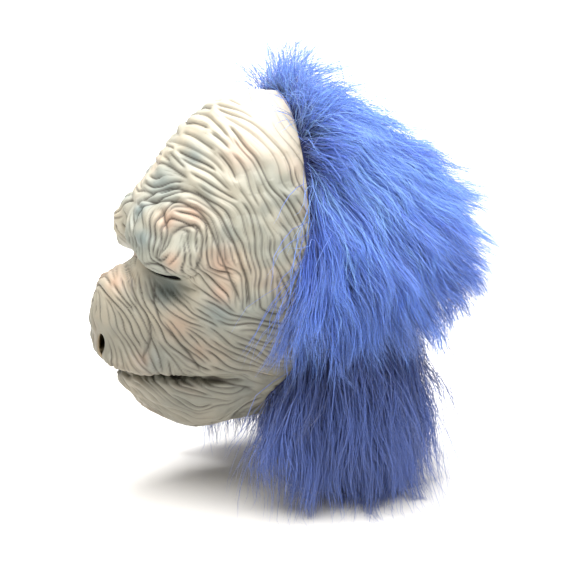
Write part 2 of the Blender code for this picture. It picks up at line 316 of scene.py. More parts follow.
def cloth_material(name, colour, thread):
    """Woven cloth: crossed threads with the given pitch in metres."""
    m = Nodes(name)
    one_band = 0.314                     # scale at which the wave texture repeats once in a metre
    inputs = {"Scale": one_band / thread, "Vector": m.place()}
    weave = m.times(*(m.add("ShaderNodeTexWave", inputs, wave_type="BANDS",
                            bands_direction=direction).outputs["Fac"] for direction in ("X", "Z")))
    dark = tuple(0.55 * c for c in colour)
    m.colour(m.mix(m.ramp(weave, 0.0, 0.6), dark, colour))
    m.roughness(m.noise(80.0), 0.85, 0.97)
    m.bump(weave, 0.6, 0.4 * thread)
    return m.material


def foam_material():
    m = Nodes("open_cell_foam")
    cells = m.noise(700.0, 4.0)
    m.colour(m.mix(m.ramp(cells, 0.35, 0.65), (0.035, 0.036, 0.040), (0.16, 0.16, 0.17)))
    m.roughness(m.noise(120.0), 0.88, 1.0)
    m.bump(cells, 0.9, 0.0009)
    return m.material


# ---- folds of the latex
# The folds are laid out on a plane seen from the mask's left, a little from the front and from
# above, and mirrored to its right side. The numbers of GUIDES and DEEP_FOLDS are places that were
# read by eye off an enlargement of the photograph and turned into millimetres by a helper script.
ACROSS = np.array([0.309, 0.951, 0.0])           # towards the back of the head
UPWARDS = np.array([-0.198, 0.064, 0.978])
OUTWARDS = np.cross(ACROSS, UPWARDS)
# Place on that plane in millimetres, across and up, and the direction of the folds there in degrees.
GUIDES = [
    (-84, 309, -25), (-48, 309, -40), (-26, 315, -50), (-3, 304, -55), (-98, 287, -18),
    (-64, 293, -32), (-37, 279, -45), (-14, 268, -65), (-1, 243, -60), (-112, 268, -10),
    (-76, 265, -25), (-48, 248, -45), (-26, 226, -60), (-9, 215, -60), (-114, 248, -5), (-89, 248, 0),
    (-62, 240, -35), (-42, 215, -60), (-30, 193, -75), (-14, 187, -75), (-34, 165, -88),
    (-14, 165, -80), (-139, 232, 65), (-121, 221, -80), (-112, 207, 88), (-98, 229, 55),
    (-84, 226, -15), (-89, 196, 50), (-73, 196, 80), (-59, 198, -85), (-101, 180, -22),
    (-70, 168, -35), (-51, 176, -18), (-98, 165, -60), (-87, 154, -48), (-64, 143, -25),
    (-37, 137, -12), (-23, 121, -15), (-101, 140, -50), (-76, 121, -35), (-51, 118, -25),
    (-31, 107, -25), (-89, 115, -50), (-98, 102, -75), (-114, 121, -72), (-126, 137, -70),
    (-139, 159, -62), (-151, 148, -70), (-160, 148, -88), (-134, 115, -80), (-131, 179, -72),
    (-139, 190, -55), (-117, 176, -82), (-126, 90, -35), (-103, 86, -30), (-112, 71, -40),
    (-76, 86, -15), (-87, 69, -30), (-51, 86, 0), (-62, 65, 15), (-37, 71, 30), (-132, 82, -55),
    (-14, 143, -10), (-1, 204, -75), (11, 276, -70),
]
# The deep folds, as points on the same plane that each one runs through.
DEEP_FOLDS = [
    ((-124, 215), (-121, 230), (-112, 237), (-98, 239), (-84, 237), (-71, 230), (-63, 221),
     (-56, 204), (-48, 182), (-36, 155)),  # under the brow arch
    ((-124, 236), (-109, 246), (-92, 250), (-70, 243), (-53, 226), (-42, 204), (-31, 171),
     (-30, 151)),  # over the brow arch
    ((-122, 189), (-112, 188), (-101, 187), (-94, 180), (-84, 175), (-74, 176), (-67, 181)),  # lid
    ((-100, 233), (-97, 221), (-94, 212), (-100, 196), (-102, 188)),  # between the lid's lobes
    ((-94, 208), (-84, 217), (-71, 219), (-66, 208), (-67, 193), (-74, 178)),  # round the outer lobe
    ((-136, 192), (-130, 181), (-127, 168), (-121, 156), (-113, 143), (-111, 130), (-115, 118),
     (-120, 108)),  # behind the muzzle
    ((-108, 180), (-109, 159), (-102, 140), (-87, 123), (-74, 109), (-69, 98)),  # eye to mouth
    ((-70, 96), (-51, 92), (-31, 86), (-17, 79)),  # back from the mouth
]
# Where the airbrushed tints lie on that plane: across, up and reach in millimetres.
TEAL_TINTS = [(-99, 252, 15), (-115, 208, 9), (-97, 167, 13), (-109, 108, 14), (-56, 149, 13),
              (-74, 273, 10), (-120, 232, 9)]
PEACH_TINTS = [(-95, 222, 9), (-74, 226, 9), (-90, 189, 7), (-52, 187, 12), (-52, 165, 9),
               (-36, 277, 14), (-141, 173, 9), (-88, 137, 11), (-118, 110, 6), (-70, 118, 8)]


def tint(p, places):
    """How much of a tint the airbrush left at points p, the same on both sides of the face."""
    place = np.concatenate([np.abs(p[:, :1]), p[:, 1:]], axis=1)
    across, up = 1000.0 * place @ ACROSS, 1000.0 * place @ UPWARDS
    return np.clip(sum(np.exp(-((across - a) ** 2 + (up - u) ** 2) / reach ** 2)
                       for a, u, reach in places), 0.0, 1.0)


def flow_direction(p, n):
    """Direction that the folds run in at points p of the surface with normals n."""
    side = np.where(p[:, :1] < 0.0, -1.0, 1.0)
    flip = np.concatenate([side, np.ones_like(side), np.ones_like(side)], axis=1)
    place, normal = p * flip, n * flip
    across, up = place @ ACROSS, place @ UPWARDS
    facing = np.maximum(normal @ OUTWARDS, 0.3)
    tensor = np.zeros((len(p), 3, 3))
    for guide_across, guide_up, degrees in GUIDES:
        angle = math.radians(degrees)
        direction = math.cos(angle) * ACROSS + math.sin(angle) * UPWARDS
        tangent = unit(direction - OUTWARDS * ((normal @ direction) / facing)[:, None])
        distance = (across - 0.001 * guide_across) ** 2 + (up - 0.001 * guide_up) ** 2
        weight = 1.0 / (distance + 0.006 ** 2) ** 2
        tensor += weight[:, None, None] * tangent[:, :, None] * tangent[:, None, :]
    _, vectors = np.linalg.eigh(tensor / tensor.trace(axis1=1, axis2=2)[:, None, None])
    flow = vectors[:, :, -1] * flip
    flow = unit(flow - n * (flow * n).sum(axis=-1, keepdims=True))
    turn = 0.17 * wander(p)[:, None]
    return flow * np.cos(turn) + np.cross(n, flow) * np.sin(turn)


def wander(p):
    """Smooth noise of about unit size that varies over a few centimetres."""
    waves = np.random.default_rng(3)
    total = np.zeros(len(p))
    for length in (0.060, 0.045, 0.034, 0.026, 0.020):
        direction = unit(waves.normal(size=3))
        total += np.sin(2.0 * math.pi * (p @ direction) / length + waves.uniform(0.0, 6.0))
    return total * 0.63


def fold_spacing(p):
    """Distance between neighbouring folds: wide on the forehead, narrow round the eye."""
    y, z = p[:, 1] - SHIFT_Y, p[:, 2]
    wide = 0.0048 + 0.0018 * blend((z - 0.225) / 0.06)
    eye = np.exp(-0.5 * (((np.abs(p[:, 0]) - 0.05) / 0.03) ** 2 + ((z - 0.215) / 0.02) ** 2
                         + ((y + 0.10) / 0.04) ** 2))
    return wide - 0.0008 * eye


class Lines:
    """Evenly spaced lines that follow the flow over the surface, sampled at equal steps."""
    step = 0.0010
    closest = 0.55                       # a line ends this near another one, in spacings
    shortest, taper = 0.009, 0.007       # shortest line that is kept, and how its ends fade

    def __init__(self, points, normals, flow, spacing):
        self.points, self.normals, self.flow, self.spacing = points, normals, flow, spacing
        self.tree = kdtree.KDTree(len(points))
        for i, point in enumerate(points):
            self.tree.insert(point, i)
        self.tree.balance()
        self.cells = {}
        self.cell = float(spacing.max())
        self.samples, self.directions, self.strength, self.width = [], [], [], []

    def key(self, p):
        return tuple(int(math.floor(c / self.cell)) for c in p)

    def crowded(self, p, distance, line):
        """Whether another line passes p within the distance."""
        i, j, k = self.key(p)
        limit = distance * distance
        for a in (i - 1, i, i + 1):
            for b in (j - 1, j, j + 1):
                for c in (k - 1, k, k + 1):
                    for q, owner in self.cells.get((a, b, c), ()):
                        dx, dy, dz = p[0] - q[0], p[1] - q[1], p[2] - q[2]
                        if owner != line and dx * dx + dy * dy + dz * dz < limit:
                            return True
        return False

    def onto_surface(self, p):
        """Point p moved along the normal onto the surface, the nearest grid point and its distance."""
        _, nearest, distance = self.tree.find(p)
        normal = self.normals[nearest]
        return p - normal * float(np.dot(p - self.points[nearest], normal)), nearest, distance

    def walk(self, start, sign, length, line):
        p = self.points[start].copy()
        direction = self.flow[start] * sign
        path = []
        for _ in range(int(length / self.step)):
            p, nearest, distance = self.onto_surface(p + direction * self.step)
            room = self.closest * self.spacing[nearest]
            if distance > 3.0 * self.step or self.crowded(p, room, line):
                break
            turn = self.flow[nearest]
            direction = turn if np.dot(turn, direction) > 0.0 else -turn
            path.append((p, direction.copy(), self.spacing[nearest]))
        return path

    def add(self, p, direction, strength, width):
        self.samples.append(p)
        self.directions.append(direction)
        self.strength.append(strength)
        self.width.append(width)

    def draw(self, seeds, lengths, strengths):
        for line, start in enumerate(seeds):
            if self.crowded(self.points[start], self.spacing[start], -1):
                continue
            ahead = self.walk(start, 1.0, 0.5 * lengths[line], line)
            behind = self.walk(start, -1.0, 0.5 * lengths[line], line)
            whole = behind[::-1] + [(self.points[start], self.flow[start], self.spacing[start])] + ahead
            total = len(whole)
            if total * self.step < self.shortest:
                continue
            for i, (p, direction, spacing) in enumerate(whole):
                taper = min(1.0, (i + 1) * self.step / self.taper, (total - i) * self.step / self.taper)
                self.add(p, direction, strengths[line] * taper, spacing)
                self.cells.setdefault(self.key(p), []).append((p, line))


def smoothed(path, length):
    kernel = np.hanning(length) / np.hanning(length).sum()
    padded = np.pad(path, ((length // 2, length // 2), (0, 0)), mode="edge")
    return np.stack([np.convolve(column, kernel, "valid") for column in padded.T], axis=-1)


def deep_lines(points, normals, base):
    """Samples along the deep folds, on both sides of the face."""
    step, taper_steps, width = 0.0007, 14.0, 0.0075
    deep = Lines(points, normals, base.flow, base.spacing)
    for side in (1.0, -1.0):
        flip = np.array([side, 1.0, 1.0])
        own = np.flatnonzero((points[:, 0] * side > -0.002) & ((normals * flip) @ OUTWARDS > 0.05))
        place = points[own] * flip
        plane = kdtree.KDTree(len(own))
        for i, (a, b) in enumerate(zip(place @ ACROSS, place @ UPWARDS)):
            plane.insert((a, b, 0.0), i)
        plane.balance()
        for fold in DEEP_FOLDS:
            corners = 0.001 * np.array(fold, float)
            lengths = np.linalg.norm(np.diff(corners, axis=0), axis=1)
            reached = np.concatenate([[0.0], np.cumsum(lengths)])
            at = np.arange(0.0, reached[-1], step)
            path = np.stack([np.interp(at, reached, corners[:, i]) for i in (0, 1)], axis=-1)
            path = smoothed(path, 15)
            line = np.array([points[own[plane.find((a, b, 0.0))[1]]] for a, b in path])
            line = smoothed(smoothed(line, 21), 15)
            line = np.array([deep.onto_surface(p)[0] for p in line])
            direction = unit(np.gradient(line, axis=0))
            for i, (p, d) in enumerate(zip(line, direction)):
                deep.add(p, d, min(1.0, (i + 1) / taper_steps, (len(line) - i) / taper_steps), width)
    return deep


def carve(points, normals, lines, reach_share, crease_width):
    """For every point: how deep it lies in a fold (0 to 1) and how close it is to its crease.
    The skin over a crease hangs steeply, and the skin under it comes up slowly."""
    samples, directions = np.array(lines.samples), np.array(lines.directions)
    strength = np.array(lines.strength)
    reach = np.array(lines.width) * reach_share
    over, under = 0.70, 1.35
    hits, owners = [], []
    for i, sample in enumerate(samples):
        found = lines.tree.find_range(sample, float(reach[i]) * 1.4)
        hits.extend(index for _, index, _ in found)
        owners.extend([i] * len(found))
    hits, owners = np.array(hits), np.array(owners)
    offset = points[hits] - samples[owners]
    along = (offset * directions[owners]).sum(axis=-1)
    across = np.cross(normals[hits], directions[owners])
    across *= np.sign(across @ np.array([0.0, -0.4, 1.0]) + 1e-9)[:, None]
    signed = (offset * across).sum(axis=-1)
    ok = np.abs(along) < 1.1 * lines.step
    hits, owners, signed = hits[ok], owners[ok], signed[ok]
    scale = reach[owners] * np.where(signed > 0.0, over, under)
    closeness = np.clip(1.0 - np.abs(signed) / scale, 0.0, 1.0)
    depth, crease = np.zeros(len(points)), np.zeros(len(points))
    np.maximum.at(depth, hits, strength[owners] * closeness ** 2)
    np.maximum.at(crease, hits, strength[owners] * np.exp(-(signed / crease_width) ** 2))
    return depth, crease


# ---- the latex skin
HOLES = []
for hole_side in (1.0, -1.0):
    HOLES.append(((hole_side * 0.042, -0.094 + SHIFT_Y, 0.203), (0.017, 0.030, 0.0050),
                  hole_side * math.radians(14)))
    HOLES.append(((hole_side * 0.017, -0.150 + SHIFT_Y, 0.137), (0.0052, 0.030, 0.0115),
                  hole_side * math.radians(8)))


def inside_hole(points, hole):
    """Below 1 inside the rounded slug that cuts the hole."""
    middle, reach, tilt = hole
    offset = points - np.array(middle)
    x = offset[..., 0] * math.cos(tilt) - offset[..., 2] * math.sin(tilt)
    z = offset[..., 0] * math.sin(tilt) + offset[..., 2] * math.cos(tilt)
    level = np.sqrt((x / reach[0]) ** 2 + (z / reach[2]) ** 2)
    far = np.abs(offset[..., 1]) > 2.0 * reach[1]
    return np.where(far, 9.0, level)


def evenly(values, curves, count):
    """Picks count of the values so that the points, averaged over the curves, lie evenly spaced."""
    steps = np.linalg.norm(np.diff(curves, axis=0), axis=-1).mean(axis=-1)
    reached = np.concatenate([[0.0], np.cumsum(steps)])
    return np.interp(np.linspace(0.0, reached[-1], count), reached, values)


def head_grid():
    """Angles round the head and levels down it that the skin's grid runs through, closest together
    over the face. Two of the angles are the edges of the slit."""
    front_half = 1.72
    front_columns, back_columns = 350, 24
    dome_rows, turn_rows, tube_rows = 350, 44, 40
    slit_half = math.asin(0.5 * SLIT_WIDTH / NECK_SIDE)
    trial = np.linspace(-front_half, front_half, 1200)
    rings = head_point(trial[None, :], np.linspace(0.45, 0.95, 12)[:, None], True)
    front = evenly(trial, rings.transpose(1, 0, 2), front_columns)
    left_back = np.linspace(front_half, math.pi - slit_half, back_columns)[1:]
    around = np.concatenate([front, left_back, [math.pi], 2.0 * math.pi - left_back[::-1]])
    trial = np.linspace(0.012, 1.0, 1200)
    arcs = head_point(np.linspace(-0.9, 0.9, 13)[None, :], trial[:, None], True)
    down = np.concatenate([evenly(trial, arcs, dome_rows),
                           1.0 + np.arange(1, turn_rows + 1) / turn_rows,
                           2.0 + np.arange(1, tube_rows + 1) / tube_rows])
    return around, down


def relief(points, normals, level):
    """How far the folds sink the skin at the points, in metres, and how dark the creases are there,
    from a brown wash with painted shade in it.
    level says how far down the head each point lies, as down does in head_point."""
    flow, spacing = flow_direction(points, normals), fold_spacing(points)
    main = Lines(points, normals, flow, spacing)
    seeds = rng.permutation(len(points))[:12000]
    main.draw(seeds, rng.uniform(0.030, 0.150, len(seeds)), rng.uniform(0.55, 1.15, len(seeds)))
    depth, crease = carve(points, normals, main, 0.72, 0.0008)
    small = Lines(points, normals, flow, 0.55 * spacing)
    seeds = rng.permutation(len(points))[:9000]
    small.draw(seeds, rng.uniform(0.008, 0.035, len(seeds)), rng.uniform(0.3, 1.0, len(seeds)))
    fine_depth, fine_crease = carve(points, normals, small, 0.55, 0.0006)
    deep_depth, deep_crease = carve(points, normals, deep_lines(points, normals, main), 0.80, 0.0011)

    # the folds are shallower on the crown, on the neck and round the holes, and end under the hair;
    # the jaw's edge turns too sharply to be carved
    y, z = points[:, 1] - SHIFT_Y, points[:, 2]
    smooth_crown = blend((z - 0.275) / 0.05) * blend((y + 0.060) / 0.06)
    under_hair = blend(y / 0.02)
    calm = (1.0 - 0.5 * blend((level - 1.7) / 0.3)) * (1.0 - blend((level - 2.65) / 0.2))
    for hole in HOLES:
        calm = calm * (0.1 + 0.9 * blend((inside_hole(points, hole) - 1.1) / 1.6))
    edge_of_jaw = np.exp(-((level - 1.0) / 0.035) ** 2)
    amount = (1.0 - 0.70 * smooth_crown) * (1.0 - under_hair) * calm * (1.0 - 0.85 * edge_of_jaw)
    fold, fine, deep, rise, deepest = 0.0023, 0.0004, 0.0024, 0.0008, 0.0036
    swell = 0.0006 * wander(1.7 * points + 0.3)
    carved = amount * (fold * depth + fine * fine_depth + deep * deep_depth - rise - swell)
    marks = np.maximum(np.maximum(0.85 * crease, 0.35 * fine_crease), 0.85 * deep_crease)
    return np.minimum(carved, deepest), np.clip(amount * marks, 0.0, 1.0)


def cut_holes(outer, inner, quads):
    """The faces that stay round the holes and the slit. The corners on the edge of a hole are moved
    to its outline, on both sides of the wall."""
    surface = BVHTree.FromPolygons(outer.tolist(), quads.tolist())
    keep = np.ones(len(quads), bool)
    for hole in HOLES:
        level = inside_hole(outer, hole)
        inside = (level < 1.0) & (outer[:, 1] < 0.0)
        cut = inside[quads].any(axis=1)
        keep &= ~cut
        edge = np.zeros(len(outer), bool)
        edge[quads[cut].ravel()] = True
        middle = np.array(hole[0])
        for i in np.flatnonzero(edge & ~inside):
            moved = middle + (outer[i] - middle) / level[i]
            start = Vector((moved[0], outer[i, 1] - 0.005, moved[2]))
            hit = surface.ray_cast(start, Vector((0.0, 1.0, 0.0)), 0.011)[0]
            moved[1] = outer[i, 1] if hit is None else hit.y
            inner[i] += moved - outer[i]
            outer[i] = moved
    x, y, z = outer[quads].mean(axis=1).T
    in_slit = (np.abs(x) < 0.5 * SLIT_WIDTH) & (y > 0.0) & (z < SLIT_TOP)
    return quads[keep & ~in_slit]


def skin_map(faces, rows, columns, count):
    """Colour map: the outer surface in the upper part of the square, the inner one below it."""
    column = np.append(np.tile(np.arange(columns), rows), 0) / columns
    row = np.append(np.repeat(np.arange(rows), columns), 0) / rows
    u, v = column[faces % count], row[faces % count]
    wrap = (u.max(axis=1) - u.min(axis=1)) > 0.5
    u[wrap] += u[wrap] < 0.5
    return np.stack([u / 1.01, np.where(faces >= count, 0.22 * v, 0.25 + 0.74 * v)], axis=-1)


def latex_skin():
    """The casting: one closed wall with the folds carved into its outer side."""
    around, down = head_grid()
    columns, rows = len(around), len(down)
    grid_around, grid_down = np.meshgrid(around, down)
    base = head_point(grid_around, grid_down, True).reshape(-1, 3)
    normal = head_normal(grid_around, grid_down, True).reshape(-1, 3)
    level = grid_down.ravel()
    face = (base[:, 1] - SHIFT_Y < 0.022) & (level > 0.02) & (level < 2.85)
    chosen = np.flatnonzero(face)                    # folds only where the skin shows
    carved, marks = relief(base[chosen], normal[chosen], level[chosen])

    base = np.concatenate([base, head_point(np.zeros(1), np.zeros(1), True)])
    normal = np.concatenate([normal, [[0.0, 0.0, 1.0]]])
    level = np.append(level, 0.0)
    count, thinnest = len(base), 0.0011
    outer, wall, crease = base.copy(), np.full(count, LATEX), np.zeros(count)
    outer[chosen] -= normal[chosen] * carved[:, None]
    wall[chosen] = np.maximum(LATEX, carved + thinnest)
    crease[chosen] = marks
    inner = base - normal * wall[:, None]

    index = np.arange(rows * columns).reshape(rows, columns)
    following = np.roll(index, -1, axis=1)
    quads = np.stack([index[:-1], index[1:], following[1:], following[:-1]], axis=-1).reshape(-1, 4)
    # the crown is closed with four-cornered faces of two columns each
    pairs = np.arange(0, columns - 1, 2)
    cap = np.stack([np.full(len(pairs), rows * columns), index[0, pairs], index[0, pairs + 1],
                    index[0, (pairs + 2) % columns]], axis=-1)
    quads = np.concatenate([quads, cap])

    # the jaw's edge turns too sharply for an offset along the normals: there it points to the mouth
    in_front = 1.0 - blend((base[:, 1] - SHIFT_Y + 0.02) / 0.03)
    sharp = np.exp(-((level - 1.0) / 0.14) ** 4) * in_front
    mouth = base * [0.5, 0.0, 0.0] + [0.0, SHIFT_Y - 0.045, 0.105]
    inner += sharp[:, None] * (outer + 0.5 * LATEX * unit(mouth - outer) - inner)
    quads = cut_holes(outer, inner, quads)

    # rim faces along every open edge join the outer and the inner surface
    edges = np.stack([quads, np.roll(quads, -1, axis=1)], axis=-1).reshape(-1, 2)
    code = np.sort(edges, axis=1) @ np.array([count, 1])
    _, first, uses = np.unique(code, return_index=True, return_counts=True)
    open_edges = edges[first[uses == 1]]
    rim = np.stack([open_edges[:, 1], open_edges[:, 0], open_edges[:, 0] + count,
                    open_edges[:, 1] + count], axis=-1)
    faces = np.concatenate([quads, quads[:, ::-1] + count, rim])
    used = np.unique(faces)
    renumber = np.zeros(2 * count, dtype=np.int64)
    renumber[used] = np.arange(len(used))
    points = np.concatenate([outer, inner])[used]
    skin = mesh_object("latex_casting", points, renumber[faces], latex_material())

    scalp = blend((base[:, 2] - 0.27) / 0.06) * blend((base[:, 1] - SHIFT_Y + 0.075) / 0.07)
    # painted shade that grows down towards the jaw
    low = blend((0.215 - base[:, 2]) / 0.080)
    point_attribute(skin, "crease", np.concatenate([crease, np.zeros(count)])[used])
    point_attribute(skin, "inside", (used >= count).astype(float))
    for name, values in (("scalp", scalp), ("low", low), ("teal", tint(base, TEAL_TINTS)),
                         ("peach", tint(base, PEACH_TINTS))):
        point_attribute(skin, name, np.concatenate([values, values])[used])
    bake_map(skin, skin_map(faces, rows, columns, count))
    stand_for(skin, "latex_skin")



# ---- fur
def over_skull(around, polar):
    """Points just over the part of the skull behind the hairline, and the normals there."""
    direction = np.stack([np.sin(around) * np.sin(polar), -np.cos(around) * np.sin(polar),
                          np.cos(polar)], axis=-1)
    reach_z = np.where(direction[..., 2] > 0.0, SKULL_UP, SKULL_DOWN)
    reach = np.stack([np.full(reach_z.shape, SKULL_SIDE), np.full(reach_z.shape, SKULL_BACK),
                      reach_z], axis=-1)
    ahead = (HAIR_Y - SKULL_Y) / SKULL_BACK
    a = ((direction / reach) ** 2).sum(axis=-1)
    b = direction[..., 1] / reach[..., 1] * ahead
    distance = (-b + np.sqrt(b * b - a * (ahead * ahead - 1.0))) / a
    origin, clearance = np.array([0.0, HAIR_Y, SKULL_Z]), 0.0006
    points = apply_pulls(origin + direction * (distance + clearance)[..., None])
    points[..., 1] += SHIFT_Y
    gradient = points - np.array([0.0, SKULL_Y + SHIFT_Y, SKULL_Z])
    return points, unit(gradient / reach ** 2)


def keep_out(p):
    """Moves points that lie in the head or the neck out to just over the surface."""
    side_gap, gap, neck_gap = 0.006, 0.003, 0.004
    p = p.copy()
    centre = np.array([0.0, SKULL_Y + SHIFT_Y, SKULL_Z])
    offset = p - centre
    reach = np.stack([np.full(len(p), SKULL_SIDE + side_gap),
                      np.where(offset[:, 1] > 0.0, SKULL_BACK, SKULL_FRONT) + gap,
                      np.where(offset[:, 2] > 0.0, SKULL_UP, SKULL_DOWN) + gap], axis=-1)
    level = np.linalg.norm(offset / reach, axis=-1)
    inside = level < 1.0
    p[inside] = centre + offset[inside] / level[inside, None]
    centre = np.array([0.0, NECK_Y + SHIFT_Y])
    flat = p[:, :2] - centre
    level = np.linalg.norm(flat / np.array([NECK_SIDE + neck_gap, NECK_DEPTH + neck_gap]), axis=-1)
    inside = (level < 1.0) & (p[:, 2] < 0.12)
    p[inside, :2] = centre + flat[inside] / level[inside, None]
    return p


def grow(roots, normals, comb, length, lift, weight, steps=7):
    """Curves that leave the roots half upright, lie along the comb and sink with their weight."""
    direction = unit(normals * lift[:, None] + comb)
    step = (length / (steps - 1))[:, None]
    points = [roots]
    p = roots
    for _ in range(1, steps):
        direction = unit(direction + weight[:, None] * np.array([0.0, 0.0, -1.0]))
        p = keep_out(p + direction * step)
        points.append(p)
    return np.stack(points, axis=1)


def fibres(name, paths, radius, tone, material):
    """Closed three-sided tapering tubes along the paths, joined in one mesh."""
    count, steps = paths.shape[:2]
    tangent = unit(np.gradient(paths, axis=1))
    side = unit(np.cross(tangent, np.array([0.31, 0.22, 0.93])))
    other = np.cross(tangent, side)
    share = np.linspace(0.0, 1.0, steps)
    thickness = radius[:, None] * (0.75 + 0.5 * np.sin(math.pi * share) - 0.68 * share ** 2)[None, :]
    turn = np.arange(3) * 2.0 * math.pi / 3.0
    ring = (side[:, :, None] * np.cos(turn)[:, None] + other[:, :, None] * np.sin(turn)[:, None])
    points = paths[:, :, None] + ring * thickness[:, :, None, None]
    points = points.reshape(-1, 3)
    points[:, 2] = np.maximum(points[:, 2], 0.0004)          # none sinks into the ground
    index = np.arange(count * steps * 3).reshape(count, steps, 3)
    following = np.roll(index, -1, axis=2)
    a, b = index[:, :-1], following[:, :-1]
    c, d = following[:, 1:], index[:, 1:]
    walls = np.concatenate([np.stack([a, b, c], axis=-1).reshape(-1, 3),
                            np.stack([a, c, d], axis=-1).reshape(-1, 3)])
    ends = np.concatenate([index[:, 0, ::-1], index[:, -1]])
    faces = np.concatenate([walls, ends])
    obj = mesh_object(name, points, faces, material)
    strand = faces // (steps * 3)
    level = (faces // 3) % steps / (steps - 1.0)
    u = tone[strand] + 0.006 * (faces % 3 - 1)
    bake_map(obj, np.stack([np.clip(u, 0.0, 1.0), 0.01 + 0.98 * level], axis=-1))
    return obj


def inside_box(paths):
    """Keeps the tips within the CAD model's box, grown by 3 per cent of its size and 6 mm on each side,
    and 1 mm over the ground. Keeps the tips within what fur may stand proud of the CAD model's box.
    """
    size = np.array(cad_hi) - np.array(cad_lo)
    spare = 0.03 * size + 0.006
    low, high = np.array(cad_lo) - spare, np.array(cad_hi) + spare
    low[2] = 0.0010
    return np.clip(paths, low, high)


def sway(paths, strength):
    """Makes fibres that lie close together wander the same way, less at the roots than at the tips."""
    field = np.random.default_rng(11)            # the same waves for every piece of fur
    share = np.linspace(0.0, 1.0, paths.shape[1])[None, :, None]
    waves = np.zeros_like(paths)
    for size, weight in ((0.052, 1.0), (0.021, 0.45)):
        for axis in range(3):
            across = unit(field.normal(0.0, 1.0, 3))
            phase = 2.0 * math.pi * (paths @ across) / size + field.uniform(0.0, 6.0)
            waves[:, :, axis] += weight * np.sin(phase)
    return paths + strength * share * waves


def pile(name, roots, normals, comb, length, lift, weight, lock, material, shade=0.0):
    """Fur fibres gathered into pointed, curling locks of about lock fibres each, with loose fibres over
    them. shade is painted light and shade that makes the whole pile lighter or darker."""
    radius, stray_share, sway_strength = 0.00023, 0.30, 0.0030
    count = len(roots)
    guides = max(4, int(count / lock))
    chosen = rng.choice(count, guides, replace=False)
    guide_comb = unit(comb[chosen] + 0.30 * rng.normal(0.0, 1.0, (guides, 3)))
    guide_length = length[chosen] * rng.uniform(0.66, 1.26, guides)
    guide_lift = lift[chosen] * rng.uniform(0.4, 1.7, guides)
    leaders = grow(roots[chosen], normals[chosen], guide_comb, guide_length, guide_lift, weight[chosen])
    steps = leaders.shape[1]
    share = np.linspace(0.0, 1.0, steps)[None, :, None]
    curl = rng.uniform(0.0015, 0.0085, (guides, 1, 1)) * share ** 1.3
    turn = rng.uniform(0.0, 2.0 * math.pi, (guides, 1, 3))
    turn = turn + share * rng.uniform(2.0, 5.5, (guides, 1, 1))
    leaders = leaders + curl * (np.sin(turn) - np.sin(turn[:, :1]))
    owner = np.empty(count, dtype=int)
    for part in np.array_split(np.arange(count), 1 + count // 2000):     # a part at a time saves memory
        gap = ((roots[part, None] - roots[chosen][None]) ** 2).sum(axis=-1)
        owner[part] = gap.argmin(axis=1)
    stray = rng.random(count) < stray_share
    comb = unit(comb + np.where(stray, 0.42, 0.16)[:, None] * rng.normal(0.0, 1.0, (count, 3)))
    reach = rng.uniform(0.66, 1.12, count) + np.where(stray, rng.uniform(0.0, 0.34, count), 0.0)
    own = grow(roots, normals, comb, length * reach, lift, weight)
    gather = np.where(stray, rng.uniform(0.0, 0.45, count), rng.uniform(0.55, 0.95, count))
    follow = leaders[owner] + (roots - roots[chosen][owner])[:, None] * (1.0 - 0.85 * share)
    pull = gather[:, None, None] * share ** 0.7
    paths = own * (1.0 - pull) + follow * pull
    phase = rng.uniform(0.0, 2.0 * math.pi, (count, 1, 3))
    wave = (rng.uniform(0.0003, 0.0022, count) + np.where(stray, 0.0028, 0.0))[:, None, None] * share
    paths = paths + wave * np.sin(phase + share * rng.uniform(3.0, 9.0, (count, 1, 3)))
    paths = sway(paths, sway_strength)
    paths[:, 1:] = keep_out(paths[:, 1:].reshape(-1, 3)).reshape(count, steps - 1, 3)
    paths = inside_box(paths)
    # a random tone for each lock and fibre, plus painted shade from shade; loose fibres are a little
    # lighter as a painted highlight
    lock_tone = rng.normal(0.0, 0.16, guides)[owner]
    tone = np.clip(0.5 + shade + lock_tone + rng.normal(0.0, 0.16, count) + 0.12 * stray, 0.02, 0.98)
    return fibres(name, paths, radius * rng.uniform(0.7, 1.3, count), tone, material)


def in_two(node, count, make):
    """Two piles of fibres for a node: short ones underneath and longer ones over them."""
    return [make(f"{node}_underfur", int(0.5 * count), 0.80), make(f"{node}_pile", count, 1.0)]


def sample_patch(count, first, last, low, high):
    """Random angles that fall evenly over a patch of the skull."""
    around = rng.uniform(first, last, count * 3)
    polar = rng.uniform(low, high, count * 3)
    taken = rng.random(count * 3) < np.sin(polar)
    return around[taken][:count], polar[taken][:count]


